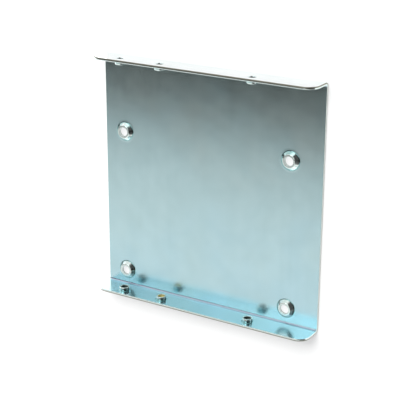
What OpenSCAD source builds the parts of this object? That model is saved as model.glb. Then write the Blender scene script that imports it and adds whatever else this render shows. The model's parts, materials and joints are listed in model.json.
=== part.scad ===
// Drive bay adapter bracket: one sheet of zinc-plated steel, blanked, pressed, tapped and folded.
// The web lies flat, and a flange stands up along each of its two long sides. Four seats pressed
// up from the web carry a small drive by the screw holes in its underside. Three collars drawn
// inwards from each flange are tapped for the side screws of a larger drive bay.
// X runs along the folds, Y across them, and the origin is in the middle of the web's lower face.

/* [Sheet] */
// Thickness of the sheet
sheet_t = 1; // [0.6:0.1:1.5]
// Inner radius of the two folds
fold_r = 0.7; // [0.2:0.1:1.2]

/* [Outline] */
// Length along the folds
bracket_l = 100; // [96:0.5:140]
// Width over the outer faces of the flanges, which is the width of the drive that it stands in for
bracket_w = 101.6; // [90:0.1:150]
// Height of the flanges above the web's lower face
flange_h = 12; // [11:0.5:25]
// Radius of the flanges' free corners
corner_r = 5; // [0.5:0.5:8]

/* [Drive seats] */
// Distance between the seats along the bracket
seat_pitch_l = 76.6; // [60:0.1:80]
// Distance between the seats across the bracket
seat_pitch_w = 61.72; // [50:0.01:85]
// From the bracket's right end to its first two seats
seat_from_end = 14; // [7:0.5:17]
// From the outer face of the near flange to its two seats
seat_from_side = 7.5; // [7:0.1:20]
// Diameter of a seat where its cone meets the web
seat_base_d = 7.6; // [7:0.1:9]
// Diameter of a seat where its cone meets its flat top
seat_top_d = 5.5; // [5:0.1:6.5]
// Height of a seat's top above the web
seat_h = 1.5; // [0.6:0.1:2.5]
// Diameter of the clearance hole for the drive's screw
seat_hole_d = 3.7; // [3.2:0.1:4.2]
// Outer radius of the bend at a seat's foot
seat_foot_r = 0.5; // [0.2:0.1:0.8]
// Outer radius of the bend round a seat's top
seat_edge_r = 0.4; // [0.2:0.1:0.6]

/* [Side collars] */
// From the bracket's left end to the first collar of a flange
collar_from_end = 12.2; // [9:0.1:20]
// From the first collar to the second
collar_pitch_near = 18.72; // [10:0.01:24]
// From the second collar to the third
collar_pitch_far = 41.28; // [30:0.01:44]
// Height of the collars' axes above the web's lower face
collar_axis_h = 7.6; // [6:0.1:8.5]
// Outer diameter of a collar
collar_d = 4.3; // [4:0.1:4.8]
// How far a collar stands in from the flange's inner face
collar_rise = 1.5; // [1:0.1:2.6]
// Diameter of a collar's hole at the crests of its thread
collar_bore_d = 2.85; // [2.6:0.05:3.1]
// Radius of the drawn-in mouth on the flange's outer face
collar_mouth_r = 0.6; // [0.2:0.1:0.8]
// Radius where a collar meets the flange
collar_root_r = 0.3; // [0.1:0.1:0.5]
// Bevel at a collar's end, inside and outside
collar_bevel = 0.15; // [0.05:0.05:0.3]

/* [Hidden] */
$fn = 96;
// straight steps in each small bend of a pressed seat or a drawn collar
bend_steps = 6;
// what a cut runs past the face that it opens through
past = 1;
// outer radius of the folds
fold_outer_r = fold_r + sheet_t;
// slope of a seat's cone above the web, and the tangent that every bend on the cone shares
seat_slope = atan2(seat_h, (seat_base_d - seat_top_d) / 2);
bend_tan = tan(seat_slope / 2);
// places of the seats, counted from the right end and from the near flange
seat_xs = [for (i = [0, 1]) bracket_l / 2 - seat_from_end - i * seat_pitch_l];
seat_ys = [for (i = [0, 1]) -bracket_w / 2 + seat_from_side + i * seat_pitch_w];
// places of a flange's collars along the bracket
collar_xs = [for (reach = [0, collar_pitch_near, collar_pitch_near + collar_pitch_far])
    -bracket_l / 2 + collar_from_end + reach];

// Points on an arc round a centre, from one angle to another
function arc(centre, radius, from, to) =
    [for (i = [0 : bend_steps])
        let (angle = from + (to - from) * i / bend_steps)
        centre + radius * [cos(angle), sin(angle)]];

// Half of the folded sheet's section: half the web, one fold and one flange
module half_section() {
    square([bracket_w / 2 - fold_outer_r, sheet_t]);
    translate([bracket_w / 2 - sheet_t, fold_outer_r])
        square([sheet_t, flange_h - fold_outer_r]);
    translate([bracket_w / 2 - fold_outer_r, fold_outer_r])
        intersection() {
            difference() {
                circle(fold_outer_r);
                circle(fold_r);
            }
            translate([0, -fold_outer_r]) square(fold_outer_r);
        }
}

// Side view of a flange: straight ends, with the two free corners rounded
module flange_outline() {
    half_l = bracket_l / 2;
    translate([-half_l, 0]) square([bracket_l, flange_h - corner_r]);
    translate([-half_l + corner_r, 0]) square([bracket_l - 2 * corner_r, flange_h]);
    for (side = [-1, 1])
        translate([side * (half_l - corner_r), flange_h - corner_r]) circle(corner_r);
}

// The blank once it is folded, before anything is pressed in it
module folded_sheet() {
    intersection() {
        rotate([90, 0, 90])
            linear_extrude(bracket_l, center = true)
                union() {
                    half_section();
                    mirror([1, 0]) half_section();
                }
        rotate([90, 0, 0])
            linear_extrude(bracket_w + 2 * past, center = true)
                flange_outline();
    }
}

// Centre of the bend at a seat's foot, which its outer and inner sides share
function seat_foot() =
    [seat_base_d / 2 + seat_foot_r * bend_tan, sheet_t + seat_foot_r];

// Upper side of a pressed seat, as a solid that is buried in the web by half the sheet
module seat_rise() {
    edge = [seat_top_d / 2 - seat_edge_r * bend_tan, sheet_t + seat_h - seat_edge_r];
    rotate_extrude()
        polygon(concat(
            [[0, sheet_t / 2], [seat_foot().x, sheet_t / 2]],
            arc(seat_foot(), seat_foot_r, 270, 270 - seat_slope),
            arc(edge, seat_edge_r, 90 - seat_slope, 90),
            [[0, sheet_t + seat_h]]));
}

// Hollow under a pressed seat, one sheet's thickness inside its upper side
module seat_hollow() {
    top_corner = [seat_top_d / 2 - sheet_t * bend_tan, seat_h];
    rotate_extrude()
        polygon(concat(
            [[0, -past], [seat_foot().x, -past]],
            arc(seat_foot(), seat_foot_r + sheet_t, 270, 270 - seat_slope),
            [top_corner, [0, seat_h]]));
}

// Outside of a drawn collar, along +Z from the flange's outer face
module collar_rise_solid() {
    outer_r = collar_d / 2;
    end_h = sheet_t + collar_rise;
    rotate_extrude()
        polygon(concat(
            [[0, sheet_t / 2], [outer_r + collar_root_r, sheet_t / 2]],
            arc([outer_r + collar_root_r, sheet_t + collar_root_r], collar_root_r, 270, 180),
            [[outer_r, end_h - collar_bevel], [outer_r - collar_bevel, end_h], [0, end_h]]));
}

// Mouth and end bevel of a collar's hole, along +Z from the flange's outer face
module collar_mouths() {
    bore_r = collar_bore_d / 2;
    end_h = sheet_t + collar_rise;
    rotate_extrude()
        polygon(concat(
            [[0, -past], [bore_r + collar_mouth_r, -past]],
            arc([bore_r + collar_mouth_r, collar_mouth_r], collar_mouth_r, 270, 180),
            [[0, collar_mouth_r]]));
    translate([0, 0, end_h - collar_bevel])
        cylinder(h = collar_bevel, r1 = bore_r, r2 = bore_r + collar_bevel);
    translate([0, 0, -past])
        cylinder(h = end_h + 2 * past, d = collar_bore_d);
}

// Sets its children at each seat of the web
module at_seats() {
    for (x = seat_xs, y = seat_ys)
        translate([x, y, 0]) children();
}

// Sets its children at each collar, turned so that +Z points inwards from the outer face
module at_collars() {
    for (x = collar_xs, side = [-1, 1])
        translate([x, side * bracket_w / 2, collar_axis_h])
            rotate([side * 90, 0, 0]) children();
}

module bracket() {
    color([0.66, 0.77, 0.80])
        difference() {
            union() {
                folded_sheet();
                at_seats() seat_rise();
                at_collars() collar_rise_solid();
            }
            at_seats() seat_hollow();
            at_seats() cylinder(h = sheet_t + seat_h + past, d = seat_hole_d);
            at_collars() collar_mouths();
        }
}

bracket();
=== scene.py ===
import json
import math

import bmesh
import bpy
from mathutils import Matrix, Vector
from mathutils.geometry import delaunay_2d_cdt


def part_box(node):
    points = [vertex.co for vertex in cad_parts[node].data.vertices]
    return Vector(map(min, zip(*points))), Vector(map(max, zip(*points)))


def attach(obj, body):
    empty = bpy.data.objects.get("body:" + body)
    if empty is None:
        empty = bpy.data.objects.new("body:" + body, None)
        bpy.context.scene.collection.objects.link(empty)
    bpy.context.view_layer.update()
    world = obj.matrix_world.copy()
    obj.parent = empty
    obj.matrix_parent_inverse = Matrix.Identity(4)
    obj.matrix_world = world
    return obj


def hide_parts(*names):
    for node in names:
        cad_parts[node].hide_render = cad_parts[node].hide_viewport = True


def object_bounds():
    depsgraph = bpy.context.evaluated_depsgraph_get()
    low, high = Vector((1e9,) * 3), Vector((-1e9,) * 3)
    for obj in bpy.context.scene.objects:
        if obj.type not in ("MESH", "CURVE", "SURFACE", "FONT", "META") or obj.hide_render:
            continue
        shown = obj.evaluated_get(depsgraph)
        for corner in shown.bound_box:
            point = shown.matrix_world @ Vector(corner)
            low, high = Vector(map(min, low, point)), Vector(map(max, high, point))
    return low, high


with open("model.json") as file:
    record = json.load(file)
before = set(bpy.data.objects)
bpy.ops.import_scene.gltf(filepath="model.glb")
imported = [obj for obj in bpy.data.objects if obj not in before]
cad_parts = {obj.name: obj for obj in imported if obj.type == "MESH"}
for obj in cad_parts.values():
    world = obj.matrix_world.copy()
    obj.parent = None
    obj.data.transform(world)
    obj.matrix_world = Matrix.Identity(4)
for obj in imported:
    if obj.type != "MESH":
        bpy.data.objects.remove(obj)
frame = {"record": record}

cad_low, cad_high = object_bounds()


# Camera
# It looks down on the lying bracket from the side that the photograph shows, with the
# far flange at the top of the picture and the length of the lens that the photograph fits.
camera_place = Vector((0.22355, 0.14963, 0.37755))
camera_ahead = Vector((-0.48043, -0.33874, -0.80898)).normalized()
camera_up = Vector((-0.17935, 0.94085, -0.28746))
camera_right = camera_ahead.cross(camera_up).normalized()
camera_up = camera_right.cross(camera_ahead)

camera_data = bpy.data.cameras.new("camera")
camera_data.sensor_width = 36.0
camera_data.lens = 99.06
camera_data.clip_start = 0.01
camera = bpy.data.objects.new("camera", camera_data)
bpy.context.scene.collection.objects.link(camera)
camera.matrix_world = Matrix((
    (camera_right.x, camera_up.x, -camera_ahead.x, camera_place.x),
    (camera_right.y, camera_up.y, -camera_ahead.y, camera_place.y),
    (camera_right.z, camera_up.z, -camera_ahead.z, camera_place.z),
    (0.0, 0.0, 0.0, 1.0),
))
bpy.context.scene.camera = camera
bpy.context.scene.view_settings.view_transform = "Standard"


# Studio
# A white table in a bright room that is dark above the camera and on its right, so that the
# sheet has something to mirror. A roof light and a low window give it highlights, and one
# broad lamp beyond the far flange gives the shadow.
def joined(tree, start, end):
    """Joins an output socket to an input socket."""
    tree.links.new(start, end)


def new_material(name):
    """A new material with an empty node tree, and that tree."""
    made = bpy.data.materials.new(name)
    made.use_nodes = True
    made.node_tree.nodes.clear()
    return made, made.node_tree


def calculated(tree, operation, *values, clamp=False):
    """The output of a Math node on sockets or plain numbers."""
    node = tree.nodes.new("ShaderNodeMath")
    node.operation = operation
    node.use_clamp = clamp
    for socket, value in zip(node.inputs, values):
        if isinstance(value, (int, float)):
            socket.default_value = value
        else:
            joined(tree, value, socket)
    return node.outputs[0]


def ramp_between(tree, factor, stops, interpolation="EASE"):
    """A colour ramp on a socket, from (position, colour) stops."""
    node = tree.nodes.new("ShaderNodeValToRGB")
    node.color_ramp.interpolation = interpolation
    elements = node.color_ramp.elements
    while len(elements) < len(stops):
        elements.new(1.0)
    for element, (position, colour) in zip(elements, stops):
        element.position = position
        element.color = (*colour, 1.0)
    joined(tree, factor, node.inputs["Fac"])
    return node.outputs["Color"]


def brightness_across(tree, value, stops):
    """Brightness of the room by a value of the direction, from (value, brightness) stops."""
    first, last = stops[0][0], stops[-1][0]
    factor = calculated(tree, "MULTIPLY_ADD", value, 1 / (last - first), -first / (last - first))
    placed = [((v - first) / (last - first), (b, b, b)) for v, b in stops]
    return ramp_between(tree, factor, placed, "LINEAR")


world = bpy.data.worlds.new("studio")
bpy.context.scene.world = world
world.use_nodes = True
sky = world.node_tree
sky.nodes.clear()
sky_axes = sky.nodes.new("ShaderNodeSeparateXYZ")
joined(sky, sky.nodes.new("ShaderNodeTexCoord").outputs["Generated"], sky_axes.inputs[0])
to_right, to_far, to_top = (sky_axes.outputs[axis] for axis in ("X", "Y", "Z"))

# the slope from straight up towards the far side, for each direction above the lowest rise
lowest_rise = 0.05
far_slope = calculated(sky, "DIVIDE", to_far, calculated(sky, "MAXIMUM", to_top, lowest_rise))
# from the near side, through the dark room above the camera, to the far side
from_near_to_far = brightness_across(sky, far_slope, [
    (-0.80, 0.95), (-0.51, 0.96), (-0.44, 0.98), (-0.41, 0.97), (-0.385, 0.91),
    (-0.365, 0.80), (-0.35, 0.66), (-0.335, 0.42), (-0.32, 0.12), (-0.30, 0.0),
    (0.40, 0.0), (0.45, 0.12), (0.49, 0.42), (0.53, 1.1), (0.57, 1.5), (0.80, 1.5), (1.20, 0.95),
])

# the lean to the right, which counts for less the further a direction is from the middle
leaning = calculated(sky, "MULTIPLY_ADD", to_far, 0.5, to_right)
sideways = calculated(sky, "SUBTRACT", leaning, calculated(sky, "ABSOLUTE", to_far))
# from the left to the dark right
from_left_to_right = brightness_across(sky, sideways, [
    (-1.0, 0.97), (-0.9, 0.97), (-0.74, 0.82), (-0.6, 1.15), (-0.3, 1.0), (-0.05, 0.08), (0.2, 0.06),
])


def window_at(across, along, middle, half_size, edge_slope=2.5):
    """Share of a round window with a soft edge, by two values of the direction."""
    off_across, off_along = (
        calculated(sky, "DIVIDE", calculated(sky, "SUBTRACT", value, centre), half)
        for value, centre, half in zip((across, along), middle, half_size)
    )
    along_squared = calculated(sky, "MULTIPLY", off_along, off_along)
    spread = calculated(sky, "MULTIPLY_ADD", off_across, off_across, along_squared)
    return calculated(sky, "MULTIPLY_ADD", spread, -edge_slope, 1 + edge_slope, clamp=True)


# a roof light overhead, and a low window on the near side
roof_brightness = 1.5
window_brightness = 1.1
roof_light = calculated(
    sky, "MULTIPLY",
    window_at(to_right, to_far, middle=(-0.08, 0.25), half_size=(0.285, 0.35)),
    calculated(sky, "GREATER_THAN", to_top, 0.0),
)
low_window = calculated(
    sky, "MULTIPLY",
    window_at(to_right, to_top, middle=(-0.03, 0.22), half_size=(0.40, 0.20)),
    calculated(sky, "LESS_THAN", to_far, 0.0),
)
glow = calculated(sky, "MULTIPLY", roof_light, roof_brightness)
glow = calculated(sky, "MULTIPLY_ADD", low_window, window_brightness, glow)
room = calculated(sky, "MULTIPLY_ADD", from_near_to_far, from_left_to_right, glow)

# the mirrored room, and plain white where the camera looks past the table
sky_light = sky.nodes.new("ShaderNodeBackground")
sky_light.inputs["Color"].default_value = (1.0, 1.0, 1.0, 1.0)
joined(sky, room, sky_light.inputs["Strength"])
sky_white = sky.nodes.new("ShaderNodeBackground")
sky_white.inputs["Color"].default_value = (1.0, 1.0, 1.0, 1.0)
sky_rays = sky.nodes.new("ShaderNodeLightPath")
sky_mix = sky.nodes.new("ShaderNodeMixShader")
sky_out = sky.nodes.new("ShaderNodeOutputWorld")
joined(sky, sky_rays.outputs["Is Camera Ray"], sky_mix.inputs[0])
joined(sky, sky_light.outputs[0], sky_mix.inputs[1])
joined(sky, sky_white.outputs[0], sky_mix.inputs[2])
joined(sky, sky_mix.outputs[0], sky_out.inputs["Surface"])

lamp_data = bpy.data.lights.new("soft_lamp", "SUN")
lamp_data.energy = 2.0
lamp_data.angle = math.radians(40)
lamp = bpy.data.objects.new("soft_lamp", lamp_data)
lamp.visible_glossy = False
bpy.context.scene.collection.objects.link(lamp)
lamp_from = Vector((0.12, 0.62, 0.775))
lamp.rotation_mode = "QUATERNION"
lamp.rotation_quaternion = lamp_from.to_track_quat("Z", "Y")

table_half = 3.0
table_corners = [(x * table_half, y * table_half, 0.0) for x, y in ((-1, -1), (1, -1), (1, 1), (-1, 1))]
table_mesh = bpy.data.meshes.new("table")
table_mesh.from_pydata(table_corners, [], [(0, 1, 2, 3)])
table = bpy.data.objects.new("table", table_mesh)
bpy.context.scene.collection.objects.link(table)

table_white, tree = new_material("white_table")
table_paint = tree.nodes.new("ShaderNodeBsdfDiffuse")
table_paint.inputs["Color"].default_value = (0.95, 0.95, 0.95, 1.0)
table_glow = tree.nodes.new("ShaderNodeEmission")
table_glow.inputs["Color"].default_value = (1.0, 1.0, 1.0, 1.0)
table_rays = tree.nodes.new("ShaderNodeLightPath")
table_axes = tree.nodes.new("ShaderNodeSeparateXYZ")
joined(tree, tree.nodes.new("ShaderNodeTexCoord").outputs["Object"], table_axes.inputs[0])
# how much of the table's white is its own glow, as far as the camera and a mirror see it: more
# of it under the bracket, where it is seen only through the holes, as painted light that takes away the
# bracket's shade there
open_share = 0.15
under_share = 0.80
under_half = 0.047
under_x, under_y = (
    calculated(tree, "LESS_THAN", calculated(tree, "ABSOLUTE", table_axes.outputs[axis]), under_half)
    for axis in ("X", "Y")
)
under = calculated(tree, "MULTIPLY", under_x, under_y)
glow_share = calculated(tree, "MULTIPLY_ADD", under, under_share - open_share, open_share)
seen = calculated(
    tree, "MAXIMUM", table_rays.outputs["Is Camera Ray"], table_rays.outputs["Is Glossy Ray"]
)
# the table's left end glows six times as bright for glossy rays only, a painted glow that burns out in
# the mirror of the near flange
left_extra = 5.0
left_end = calculated(tree, "LESS_THAN", table_axes.outputs["X"], cad_low.x)
left_glare = calculated(tree, "MULTIPLY", left_end, table_rays.outputs["Is Glossy Ray"])
left_strength = calculated(tree, "MULTIPLY_ADD", left_glare, left_extra, 1.0)
joined(tree, left_strength, table_glow.inputs["Strength"])
table_mix = tree.nodes.new("ShaderNodeMixShader")
table_out = tree.nodes.new("ShaderNodeOutputMaterial")
joined(tree, calculated(tree, "MULTIPLY", seen, glow_share), table_mix.inputs[0])
joined(tree, table_paint.outputs[0], table_mix.inputs[1])
joined(tree, table_glow.outputs[0], table_mix.inputs[2])
joined(tree, table_mix.outputs[0], table_out.inputs["Surface"])
table_mesh.materials.append(table_white)


# Zinc finish
# Bright zinc plate with a clear blue passivation over cold-rolled steel. The film is a few
# tenths of a micron thick, so its tint drifts from blue to faint green and violet. The inner
# creases of the folds are painted darker and violet, as painted shade. The rolling grain
# runs across the folds.
def noise_on(tree, place, scale, detail=2.0, stretch=(1.0, 1.0, 1.0)):
    """Noise with so many turns to the metre, longer along an axis whose stretch is small."""
    mapping = tree.nodes.new("ShaderNodeMapping")
    mapping.inputs["Scale"].default_value = stretch
    joined(tree, place, mapping.inputs["Vector"])
    noise = tree.nodes.new("ShaderNodeTexNoise")
    noise.inputs["Scale"].default_value = scale
    noise.inputs["Detail"].default_value = detail
    joined(tree, mapping.outputs[0], noise.inputs["Vector"])
    return noise.outputs["Fac"]


def mixed(tree, share, first, second, blend="MIX"):
    """Two colours mixed by a share, each a socket or plain numbers."""
    node = tree.nodes.new("ShaderNodeMix")
    node.data_type = "RGBA"
    node.blend_type = blend
    factor, first_socket, second_socket = node.inputs[0], node.inputs[6], node.inputs[7]
    for socket, value in ((factor, share), (first_socket, first), (second_socket, second)):
        if isinstance(value, (int, float)):
            socket.default_value = value
        elif isinstance(value, tuple):
            socket.default_value = (*value, 1.0)
        else:
            joined(tree, value, socket)
    return node.outputs[2]


zinc, tree = new_material("blue_zinc_plate")
zinc_place = tree.nodes.new("ShaderNodeTexCoord").outputs["Object"]
film = noise_on(tree, zinc_place, scale=34.0, detail=3.0)
patches = noise_on(tree, zinc_place, scale=85.0, detail=2.0)
streaks = noise_on(tree, zinc_place, scale=420.0, detail=2.0, stretch=(1.0, 0.03, 1.0))
grain = noise_on(tree, zinc_place, scale=2600.0, detail=2.0, stretch=(1.0, 0.03, 1.0))
smudges = noise_on(tree, zinc_place, scale=150.0, detail=4.0)


def mark_of(tree, name):
    """How far each place of the surface carries a mark that the mesh keeps under its name."""
    node = tree.nodes.new("ShaderNodeAttribute")
    node.attribute_name = name
    return node.outputs["Fac"]


burnished, broken, threaded, crease_shade, drawn = (
    mark_of(tree, name) for name in ("burnished", "broken", "threaded", "crease_shade", "drawn")
)
# the one collar thread that carries a painted yellow reflection
painted_yellow_reflection = calculated(tree, "MULTIPLY", mark_of(tree, "painted_yellow"), threaded)
zinc_axes = tree.nodes.new("ShaderNodeSeparateXYZ")
joined(tree, zinc_place, zinc_axes.inputs[0])

# the film drifts from green-grey at the far flange to blue at the near one
drift_per_metre = -5.0
film_drift = calculated(tree, "MULTIPLY_ADD", film, 0.5, 0.25)
drift = calculated(tree, "MULTIPLY_ADD", zinc_axes.outputs["Y"], drift_per_metre, film_drift)
tint = ramp_between(tree, drift, [
    (0.20, (0.64, 0.79, 0.78)),
    (0.50, (0.60, 0.82, 0.85)),
    (0.85, (0.56, 0.82, 0.90)),
])

# the outer faces of the flanges are painted pale, a painted highlight that whitens them
outer_highlight_from = cad_high.y - 0.0005
outer_highlight_strip = 0.00045
outer_highlight_share = 0.9
outer_highlight_tint = (0.93, 0.95, 0.95)
outwards = calculated(tree, "ABSOLUTE", zinc_axes.outputs["Y"])
outer_highlight = calculated(
    tree, "MULTIPLY_ADD", outwards, 1 / outer_highlight_strip, -outer_highlight_from / outer_highlight_strip, clamp=True
)
tint = mixed(tree, calculated(tree, "MULTIPLY", outer_highlight, outer_highlight_share), tint, outer_highlight_tint)
tone = ramp_between(tree, patches, [(0.3, (0.95, 0.96, 0.96)), (0.7, (1.0, 1.0, 1.0))])
streak_tone = ramp_between(tree, streaks, [(0.3, (0.98, 0.985, 0.985)), (0.65, (1.0, 1.0, 1.0))])
plate = mixed(tree, 1.0, mixed(tree, 1.0, tint, tone, "MULTIPLY"), streak_tone, "MULTIPLY")

# what the tools did to the plate, and the painted shade and painted reflection laid over it,
# in the order in which one hides another
crease_shade_share = 0.8
for share, colour in (
    (burnished, (0.80, 0.90, 0.87)),
    # the fillets at the feet of seats and collars, and the collar walls: painted shade, much darker
    # than the plate, though their lower roughness is real
    (drawn, (0.29, 0.51, 0.51)),
    # the inner creases of the folds: painted shade, darker and violet
    (calculated(tree, "MULTIPLY", crease_shade, crease_shade_share), (0.40, 0.43, 0.58)),
    (broken, (0.28, 0.28, 0.22)),
    # the threads: painted shade inside the bores, near black, though their roughness is real
    (threaded, (0.05, 0.08, 0.07)),
    # one collar's thread: a painted yellow reflection
    (painted_yellow_reflection, (0.72, 0.66, 0.30)),
):
    plate = mixed(tree, share, plate, colour)

# the plate is duller towards the near flange and in a broken edge, and bright where drawn
roughness = 0.175
for share, added in (
    (zinc_axes.outputs["Y"], -0.7),
    (smudges, 0.05),
    (streaks, 0.012),
    (broken, 0.35),
    (threaded, 0.15),
    (drawn, -0.11),
):
    roughness = calculated(tree, "MULTIPLY_ADD", share, added, roughness)

# heights of the waves, streaks and grain in metres, and the flanges' spring-in by one degree,
# which only their mirror images show
spring_in = math.tan(math.radians(1))
relief = 0.0
for pattern, height in (
    (film, 0.00004),
    (patches, 0.000010),
    (streaks, 0.0000006),
    (grain, 0.0000003),
    (zinc_axes.outputs["Z"], spring_in),
):
    relief = calculated(tree, "MULTIPLY_ADD", pattern, height, relief)
zinc_bump = tree.nodes.new("ShaderNodeBump")
zinc_bump.inputs["Distance"].default_value = 1.0
joined(tree, relief, zinc_bump.inputs["Height"])

zinc_shader = tree.nodes.new("ShaderNodeBsdfPrincipled")
zinc_shader.inputs["Metallic"].default_value = 1.0
zinc_shader.inputs["Coat Weight"].default_value = 0.3
zinc_shader.inputs["Coat IOR"].default_value = 1.6
zinc_shader.inputs["Coat Roughness"].default_value = 0.08
joined(tree, plate, zinc_shader.inputs["Base Color"])
joined(tree, roughness, zinc_shader.inputs["Roughness"])
joined(tree, zinc_bump.outputs[0], zinc_shader.inputs["Normal"])
zinc_out = tree.nodes.new("ShaderNodeOutputMaterial")
joined(tree, zinc_shader.outputs[0], zinc_out.inputs["Surface"])


# Folded sheet
# One blank of 1 mm steel, cropped with rounded corners and folded up along its two long
# sides. A cropped edge is burnished where the tool cut it, next to the inner face, and
# broken, rough and slightly undercut in its other half.
sheet_t = 0.001
fold_r = 0.0007
corner_r = 0.005
edge_r = 0.00012
edge_steps = 4
corner_steps = 14
fold_steps = 10
# height at which the cut turns into the break, the strip in which it does, and the undercut
cut_to = 0.0004
cut_strip = 0.00006
undercut = 0.00004
# flat strip that keeps the shading of a bend off the flat face beside it
rest_strip = 0.0001
# what can be marked on the surface, besides plain plate
mark_names = ("burnished", "broken", "threaded", "crease_shade", "drawn")
# two points of the flat blank nearer than this are one
same_place = 1e-9

_, sheet_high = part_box("bracket")
half_l = sheet_high.x
half_w = sheet_high.y
flange_h = sheet_high.z
fold_outer_r = fold_r + sheet_t
web_half = half_w - fold_outer_r
fold_length = (fold_r + sheet_t / 2) * math.pi / 2
flange_foot = web_half + fold_length
flange_top = flange_foot + flange_h - fold_outer_r


def folded(x, s, h):
    """The place in the folded bracket of a point of the flat blank, h above its outer face."""
    side = math.copysign(1.0, s)
    s = abs(s)
    if s <= web_half:
        return Vector((x, side * s, h))
    if s >= flange_foot:
        return Vector((x, side * (half_w - h), fold_outer_r + s - flange_foot))
    angle = (s - web_half) / fold_length * math.pi / 2
    radius = fold_outer_r - h
    y = web_half + radius * math.sin(angle)
    return Vector((x, side * y, fold_outer_r - radius * math.cos(angle)))


def bend_lines():
    """Where the blank has points across its folds, from the web's side to the flange's."""
    steps = [web_half + fold_length * i / fold_steps for i in range(fold_steps + 1)]
    return [web_half - rest_strip, *steps, flange_foot + rest_strip]


def outline(inset):
    """The blank's outline, drawn in by inset, with the same points whatever the inset."""
    points = []
    for quarter, (side_x, side_s) in enumerate([(1, 1), (-1, 1), (-1, -1), (1, -1)]):
        centre = (side_x * (half_l - corner_r), side_s * (flange_top - corner_r))
        for i in range(corner_steps + 1):
            angle = math.pi / 2 * (quarter + i / corner_steps)
            points.append((
                centre[0] + (corner_r - inset) * math.cos(angle),
                centre[1] + (corner_r - inset) * math.sin(angle),
            ))
        if quarter in (1, 3):
            end_x = side_x * (half_l - inset)
            lines = sorted([-s for s in bend_lines()] + bend_lines(), reverse=quarter == 1)
            points += [(end_x, s) for s in lines]
    return points


def rim_profile():
    """(inset, height, mark) steps from the inner face round the cropped edge to the outer face."""
    turn = [math.pi / 2 * i / edge_steps for i in range(edge_steps + 1)]
    rolled = [(edge_r * (1 - math.sin(a)), edge_r * (1 - math.cos(a))) for a in turn]
    flat = edge_r + rest_strip
    return [
        (flat, sheet_t, "plain"),
        (edge_r, sheet_t, "plain"),
        *[(inset, sheet_t - drop, "burnished") for inset, drop in rolled[1:]],
        (0.0, cut_to + cut_strip, "burnished"),
        (undercut / 4, cut_to, "broken"),
        *[(undercut + inset, drop, "broken") for inset, drop in reversed(rolled)],
        (undercut + flat, 0.0, "plain"),
    ]


def ring(centre, radius, steps):
    """Points evenly round a circle on the flat blank."""
    return [
        (
            centre[0] + radius * math.cos(2 * math.pi * i / steps),
            centre[1] + radius * math.sin(2 * math.pi * i / steps),
        )
        for i in range(steps)
    ]


def set_mark(mesh, vertex, mark):
    """Keeps one mark on a vertex of a bmesh."""
    for name in mark_names:
        vertex[mesh.verts.layers.float[name]] = 1.0 if name == mark else 0.0


def add_face_of_blank(mesh, height, inset, holes, steps):
    """Fills one face of the blank between its outline and its round holes, and folds it."""
    rim = outline(inset)
    points = [Vector(p) for p in rim]
    edges = [(i, (i + 1) % len(rim)) for i in range(len(rim))]
    for centre, radius in holes:
        first = len(points)
        points += [Vector(p) for p in ring(centre, radius, steps)]
        edges += [(first + i, first + (i + 1) % steps) for i in range(steps)]
    end_x = max(x for x, _ in rim)
    end_points = [(i, s) for i, (x, s) in enumerate(rim) if abs(abs(x) - end_x) < same_place]
    for line in [*bend_lines(), *[-s for s in bend_lines()]]:
        edges.append(tuple(i for i, s in end_points if abs(s - line) < same_place))
    flat, _, faces, *_ = delaunay_2d_cdt(points, edges, [], 1, same_place)
    made = [mesh.verts.new(folded(p.x, p.y, height)) for p in flat]
    for point, vertex in zip(flat, made):
        # in a fold, the inner face carries the crease's painted shade
        in_fold = web_half + rest_strip / 2 < abs(point.y) < flange_foot - rest_strip / 2
        set_mark(mesh, vertex, "crease_shade" if in_fold and height == sheet_t else "plain")
    inside = math.cos(math.pi / steps)
    for face in faces:
        middle = sum((flat[i] for i in face), Vector((0.0, 0.0))) / len(face)
        if all((middle - Vector(centre)).length > radius * inside for centre, radius in holes):
            mesh.faces.new([made[i] for i in face])


def add_rim(mesh):
    """The cropped edge all round the blank, as one strip between each two rim steps."""
    loops = []
    for inset, height, mark in rim_profile():
        loops.append([mesh.verts.new(folded(x, s, height)) for x, s in outline(inset)])
        for vertex in loops[-1]:
            set_mark(mesh, vertex, mark)
    for upper, lower in zip(loops, loops[1:]):
        for i in range(len(upper)):
            after = (i + 1) % len(upper)
            mesh.faces.new([upper[i], upper[after], lower[after], lower[i]])


# Pressed seats and drawn collars
# Each is one turned form, set by the same small tree of nodes at every place that the
# frame's screw patterns give: four seats pressed up from the web, which swells a little
# round each of them, and three tapped collars drawn inwards from each flange.
mounts = {m["name"]: m for m in frame["record"]["mounts"]}
steps_around = 72
bend_steps = 8
lip_steps = 4


def arc(centre, radius, start, end, steps=bend_steps):
    """Points on an arc in a profile, with both of its ends."""
    turn = [math.radians(start + (end - start) * i / steps) for i in range(steps + 1)]
    return [(centre[0] + radius * math.cos(a), centre[1] + radius * math.sin(a)) for a in turn]


def marked(mark, points):
    """Profile points with their mark."""
    return [(*point, mark) for point in points]


def pattern_points(mount):
    """The hole centres of a rectangular or two-hole pattern, in the row frame."""
    middle = Vector(mount["pos_m"])
    reach_x = mount["dims"]["spacing_x_mm"] / 2000
    reach_y = mount["dims"].get("spacing_y_mm", 0.0) / 2000
    sides = sorted({(i * reach_x, j * reach_y) for i in (-1, 1) for j in (-1, 1)})
    return [middle + Vector((x, y, 0.0)) for x, y in sides]


seat_places = [Vector((p.x, p.y, 0.0)) for p in pattern_points(mounts["drive_screws"])]
collar_places = []
for side_name in ("near_side", "far_side"):
    outer_pair = pattern_points(mounts[side_name + "_outer_threads"])
    inner_pair = pattern_points(mounts[side_name + "_inner_threads"])
    side_y = math.copysign(half_w, outer_pair[0].y)
    for p in (outer_pair[0], inner_pair[0], outer_pair[1]):
        collar_places.append(Vector((p.x, side_y, p.z)))
# the thread of the second collar of the near flange is painted yellow, a painted reflection of
# something yellow
painted_yellow_collar = 1

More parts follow.
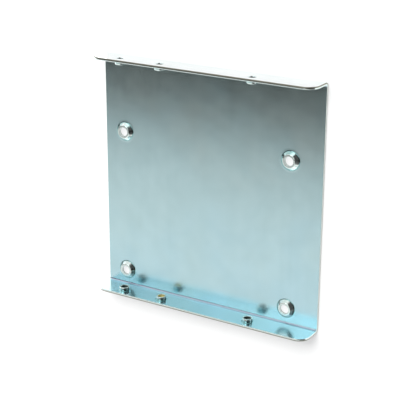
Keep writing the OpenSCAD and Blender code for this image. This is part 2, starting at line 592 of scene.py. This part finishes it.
# the seat: the slight swell round it, its cone, its flat top and its clearance hole
seat_base_r = 0.0038
seat_top_r = 0.00275
seat_h = 0.0015
seat_hole_r = mounts["drive_screws"]["dims"]["hole_r_mm"] / 1000
seat_foot_r = 0.0005
seat_edge_r = 0.0004
hole_lip = 0.00008
swell_w = 0.0009
swell_h = 0.000006
swell_steps = 8
seat_slope = math.degrees(math.atan2(seat_h, seat_base_r - seat_top_r))
bend_tan = math.tan(math.radians(seat_slope / 2))
seat_foot = (seat_base_r + seat_foot_r * bend_tan, sheet_t + seat_foot_r)
seat_top = sheet_t + seat_h
seat_edge = (seat_top_r - seat_edge_r * bend_tan, seat_top - seat_edge_r)
seat_hollow_r = seat_top_r - sheet_t * bend_tan
swell_ring_r = seat_foot[0] + swell_w + rest_strip
seat_ring_r = seat_foot[0] + rest_strip
swell = [
    (seat_foot[0] + swell_w * share, sheet_t + swell_h * math.cos(math.pi / 2 * share) ** 2)
    for share in [1 - i / swell_steps for i in range(swell_steps)]
]
foot_bend = arc((seat_foot[0], seat_foot[1] + swell_h), seat_foot_r, 270, 270 - seat_slope)
hollow_rest = rest_strip / 2 * math.cos(math.radians(seat_slope))
hollow_drop = rest_strip / 2 * math.sin(math.radians(seat_slope))
lip_r = seat_hole_r + hole_lip
seat_profile = [
    *marked("plain", [(swell_ring_r, sheet_t), *swell]),
    # the fillet at the seat's foot carries painted shade
    *marked("drawn", foot_bend[:-1]),
    *marked("burnished", foot_bend[-1:]),
    *marked("burnished", arc(seat_edge, seat_edge_r, 90 - seat_slope, 90)),
    *marked("burnished", [(r, seat_top) for r in (seat_edge[0] - rest_strip, lip_r + rest_strip)]),
    *marked("burnished", arc((lip_r, seat_top - hole_lip), hole_lip, 90, 180, lip_steps)),
    *marked("broken", arc((lip_r, seat_h + hole_lip), hole_lip, 180, 270, lip_steps)),
    *marked("plain", [(lip_r + rest_strip / 2, seat_h), (seat_hollow_r - rest_strip / 2, seat_h)]),
    *marked("plain", [(seat_hollow_r + hollow_rest, seat_h - hollow_drop)]),
    *marked("plain", arc(seat_foot, seat_foot_r + sheet_t, 270 - seat_slope, 270)),
    *marked("plain", [(seat_ring_r, 0.0)]),
]

# the collar: its mouth, its thread, its end and its outer wall
collar_r = 0.00215
collar_rise = 0.0015
collar_bore_r = mounts["near_side_outer_threads"]["dims"]["hole_r_mm"] / 1000
collar_mouth_r = 0.0006
collar_root_r = 0.0003
collar_bevel = 0.00015
collar_end = sheet_t + collar_rise
thread_pitch = 0.0254 / 32
thread_depth = 0.0003
thread_rows = 32
thread_end = collar_end - collar_bevel
collar_inner_ring_r = collar_r + collar_root_r + rest_strip
collar_outer_ring_r = collar_bore_r + collar_mouth_r + rest_strip
mouth = arc((collar_bore_r + collar_mouth_r, collar_mouth_r), collar_mouth_r, 270, 180)
bore_rows = [
    (collar_bore_r, collar_mouth_r + (thread_end - collar_mouth_r) * i / thread_rows)
    for i in range(1, thread_rows + 1)
]
end_ring = [
    (collar_bore_r + collar_bevel, collar_end),
    (collar_bore_r + collar_bevel + rest_strip / 2, collar_end),
    (collar_r - collar_bevel - rest_strip / 2, collar_end),
]
collar_profile = [
    *marked("plain", [(collar_outer_ring_r, 0.0), *mouth[:-2]]),
    # the thread carries painted shade
    *marked("threaded", [*mouth[-2:], *bore_rows]),
    *marked("burnished", end_ring),
    *marked("burnished", arc((collar_r - collar_bevel, thread_end), collar_bevel, 90, 0, lip_steps)),
    # the fillet at the collar's root carries painted shade, which fades up the wall to the end
    *marked("drawn", arc((collar_r + collar_root_r, sheet_t + collar_root_r), collar_root_r, 180, 270)),
    *marked("plain", [(collar_inner_ring_r, sheet_t)]),
]


def chain(name, points):
    """A profile as a chain of vertices in a mesh: radius along X, height along Z."""
    mesh = bpy.data.meshes.new(name)
    links = [(i, i + 1) for i in range(len(points) - 1)]
    mesh.from_pydata([(r, 0.0, z) for r, z, _ in points], links, [])
    for mark_name in mark_names:
        attribute = mesh.attributes.new(mark_name, "FLOAT", "POINT")
        for item, (_, _, mark) in zip(attribute.data, points):
            item.value = 1.0 if mark_name == mark else 0.0
    made = bpy.data.objects.new(name, mesh)
    bpy.context.scene.collection.objects.link(made)
    return made


def turned_form_tree():
    """Nodes that turn a profile round its axis, cut a thread in it and set it at each place."""
    tree = bpy.data.node_groups.new("turned_form", "GeometryNodeTree")
    sockets = {}
    for name, kind in (
        ("Geometry", "NodeSocketGeometry"),
        ("Profile", "NodeSocketObject"),
        ("Profile Points", "NodeSocketInt"),
        ("Steps Around", "NodeSocketInt"),
        ("Thread Pitch", "NodeSocketFloat"),
        ("Thread Depth", "NodeSocketFloat"),
        ("Thread Radius", "NodeSocketFloat"),
        ("Thread Start", "NodeSocketFloat"),
        ("Thread End", "NodeSocketFloat"),
        ("Material", "NodeSocketMaterial"),
    ):
        socket = tree.interface.new_socket(name=name, in_out="INPUT", socket_type=kind)
        sockets[name] = socket.identifier
    tree.interface.new_socket(name="Geometry", in_out="OUTPUT", socket_type="NodeSocketGeometry")
    given = tree.nodes.new("NodeGroupInput").outputs
    result = tree.nodes.new("NodeGroupOutput")

    def math_node(operation, *values, clamp=False):
        return calculated(tree, operation, *values, clamp=clamp)

    # a grid of one column for each step round the axis and one row for each profile point
    columns = math_node("ADD", given["Steps Around"], 1.0)
    grid = tree.nodes.new("GeometryNodeMeshGrid")
    joined(tree, columns, grid.inputs["Vertices X"])
    joined(tree, given["Profile Points"], grid.inputs["Vertices Y"])
    place = tree.nodes.new("GeometryNodeInputPosition")
    grid_parts = tree.nodes.new("ShaderNodeSeparateXYZ")
    joined(tree, place.outputs[0], grid_parts.inputs[0])
    around = math_node("ADD", grid_parts.outputs["X"], 0.5)
    last_row = math_node("SUBTRACT", given["Profile Points"], 1.0)
    row_share = math_node("ADD", grid_parts.outputs["Y"], 0.5)
    row = math_node("ROUND", math_node("MULTIPLY", row_share, last_row))

    # each row takes its radius and height from its point of the profile
    profile = tree.nodes.new("GeometryNodeObjectInfo")
    joined(tree, given["Profile"], profile.inputs["Object"])

    def from_profile(value, kind):
        sample = tree.nodes.new("GeometryNodeSampleIndex")
        sample.data_type = kind
        joined(tree, profile.outputs["Geometry"], sample.inputs["Geometry"])
        joined(tree, value, sample.inputs["Value"])
        joined(tree, row, sample.inputs["Index"])
        return sample.outputs["Value"]

    def named(name, kind):
        node = tree.nodes.new("GeometryNodeInputNamedAttribute")
        node.data_type = kind
        node.inputs["Name"].default_value = name
        return node.outputs["Attribute"]

    profile_parts = tree.nodes.new("ShaderNodeSeparateXYZ")
    profile_place = tree.nodes.new("GeometryNodeInputPosition").outputs[0]
    joined(tree, from_profile(profile_place, "FLOAT_VECTOR"), profile_parts.inputs[0])
    radius = profile_parts.outputs["X"]
    height = profile_parts.outputs["Z"]

    # the thread: a helical groove with a flat crest and root, between its start and its end,
    # where the wall has the bore's radius
    crest_share = 0.12
    flank_slope = 1.32
    fade_pitches = 0.6
    radius_gap = 0.00001
    turns = math_node("ADD", math_node("DIVIDE", height, given["Thread Pitch"]), around)
    wave = math_node("PINGPONG", math_node("MULTIPLY", turns, 2.0), 1.0)
    groove = math_node("MULTIPLY", math_node("SUBTRACT", wave, crest_share), flank_slope, clamp=True)
    in_bore = math_node("COMPARE", radius, given["Thread Radius"], radius_gap)
    fade = math_node("MULTIPLY", given["Thread Pitch"], fade_pitches)
    past_start = math_node("SUBTRACT", height, given["Thread Start"])
    from_start = math_node("DIVIDE", past_start, fade, clamp=True)
    before_end = math_node("SUBTRACT", given["Thread End"], height)
    from_end = math_node("DIVIDE", before_end, fade, clamp=True)
    share = math_node("MULTIPLY", math_node("MULTIPLY", from_start, from_end), in_bore)
    cut = math_node("MULTIPLY", math_node("MULTIPLY", groove, share), given["Thread Depth"])
    final_radius = math_node("ADD", radius, cut)

    angle = math_node("MULTIPLY", around, 2 * math.pi)
    point = tree.nodes.new("ShaderNodeCombineXYZ")
    joined(tree, math_node("MULTIPLY", final_radius, math_node("COSINE", angle)), point.inputs["X"])
    joined(tree, math_node("MULTIPLY", final_radius, math_node("SINE", angle)), point.inputs["Y"])
    joined(tree, height, point.inputs["Z"])
    marked_grid = grid.outputs["Mesh"]
    for name in mark_names:
        store = tree.nodes.new("GeometryNodeStoreNamedAttribute")
        store.data_type = "FLOAT"
        store.inputs["Name"].default_value = name
        joined(tree, marked_grid, store.inputs["Geometry"])
        joined(tree, from_profile(named(name, "FLOAT"), "FLOAT"), store.inputs["Value"])
        marked_grid = store.outputs[0]
    turned = tree.nodes.new("GeometryNodeSetPosition")
    joined(tree, marked_grid, turned.inputs["Geometry"])
    joined(tree, point.outputs[0], turned.inputs["Position"])
    closed = tree.nodes.new("GeometryNodeMergeByDistance")
    closed.inputs["Distance"].default_value = 1e-7
    joined(tree, turned.outputs[0], closed.inputs["Geometry"])

    # one copy at each place, with its axis along that place's inward direction
    turn = tree.nodes.new("FunctionNodeAlignRotationToVector")
    turn.axis = "Z"
    joined(tree, named("inward", "FLOAT_VECTOR"), turn.inputs["Vector"])
    copies = tree.nodes.new("GeometryNodeInstanceOnPoints")
    joined(tree, given["Geometry"], copies.inputs["Points"])
    joined(tree, closed.outputs[0], copies.inputs["Instance"])
    joined(tree, turn.outputs[0], copies.inputs["Rotation"])
    real = tree.nodes.new("GeometryNodeRealizeInstances")
    joined(tree, copies.outputs[0], real.inputs[0])
    finish = tree.nodes.new("GeometryNodeSetMaterial")
    joined(tree, real.outputs[0], finish.inputs["Geometry"])
    joined(tree, given["Material"], finish.inputs["Material"])
    joined(tree, finish.outputs[0], result.inputs[0])
    return tree, sockets


turned_form, turned_sockets = turned_form_tree()


def turned_at(name, places, inward, profile, thread=None, painted_yellow=None):
    """The mesh of one turned profile set at every place, baked from the tree of nodes."""
    profile_object = chain(name + "_profile", profile)
    mesh = bpy.data.meshes.new(name + "_places")
    mesh.from_pydata(places, [], [])
    directions = mesh.attributes.new("inward", "FLOAT_VECTOR", "POINT")
    for item, direction in zip(directions.data, inward):
        item.vector = direction
    yellow_mark = mesh.attributes.new("painted_yellow", "FLOAT", "POINT")
    if painted_yellow is not None:
        yellow_mark.data[painted_yellow].value = 1.0
    holder = bpy.data.objects.new(name, mesh)
    bpy.context.scene.collection.objects.link(holder)
    modifier = holder.modifiers.new("turned_form", "NODES")
    modifier.node_group = turned_form
    values = {
        "Profile": profile_object,
        "Profile Points": len(profile),
        "Steps Around": steps_around,
        "Material": zinc,
        **(thread or {"Thread Pitch": 1.0, "Thread Depth": 0.0}),
    }
    for socket, value in values.items():
        modifier[turned_sockets[socket]] = value
    holder.update_tag()
    bpy.context.view_layer.update()
    depsgraph = bpy.context.evaluated_depsgraph_get()
    baked = bpy.data.meshes.new_from_object(holder.evaluated_get(depsgraph), depsgraph=depsgraph)
    for used in (holder, profile_object):
        bpy.data.objects.remove(used)
    return baked


seats = turned_at("seats", seat_places, [Vector((0, 0, 1))] * len(seat_places), seat_profile)
collars = turned_at(
    "collars",
    collar_places,
    [Vector((0, -math.copysign(1.0, p.y), 0)) for p in collar_places],
    collar_profile,
    thread={
        "Thread Pitch": thread_pitch,
        "Thread Depth": thread_depth,
        "Thread Radius": collar_bore_r,
        "Thread Start": collar_mouth_r,
        "Thread End": thread_end,
    },
    painted_yellow=painted_yellow_collar,
)

# the sheet and its pressed and drawn forms are welded into one closed skin
weld_gap = 2e-6
seat_centres = [(p.x, p.y) for p in seat_places]
collar_centres = [
    (p.x, math.copysign(flange_foot + p.z - fold_outer_r, p.y)) for p in collar_places
]
skin = bmesh.new()
for mark_name in mark_names:
    skin.verts.layers.float.new(mark_name)
rim_insets = [step[0] for step in rim_profile()]
for height, inset, seat_gap_r, collar_gap_r in (
    (sheet_t, rim_insets[0], swell_ring_r, collar_inner_ring_r),
    (0.0, rim_insets[-1], seat_ring_r, collar_outer_ring_r),
):
    seat_gaps = [(centre, seat_gap_r) for centre in seat_centres]
    collar_gaps = [(centre, collar_gap_r) for centre in collar_centres]
    add_face_of_blank(skin, height, inset, seat_gaps + collar_gaps, steps_around)
add_rim(skin)
skin.from_mesh(seats)
skin.from_mesh(collars)
bmesh.ops.remove_doubles(skin, verts=skin.verts, dist=weld_gap)
bmesh.ops.recalc_face_normals(skin, faces=skin.faces)
open_edges = [e for e in skin.edges if not e.is_manifold]
if open_edges:
    raise ValueError(f"the bracket's skin has {len(open_edges)} open edges")
for face in skin.faces:
    face.smooth = True
    face.material_index = 0
bracket_mesh = bpy.data.meshes.new("folded_bracket")
skin.to_mesh(bracket_mesh)
skin.free()
bracket_mesh.materials.clear()
bracket_mesh.materials.append(zinc)
bracket = bpy.data.objects.new("folded_bracket", bracket_mesh)
bpy.context.scene.collection.objects.link(bracket)
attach(bracket, "root")
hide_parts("bracket")
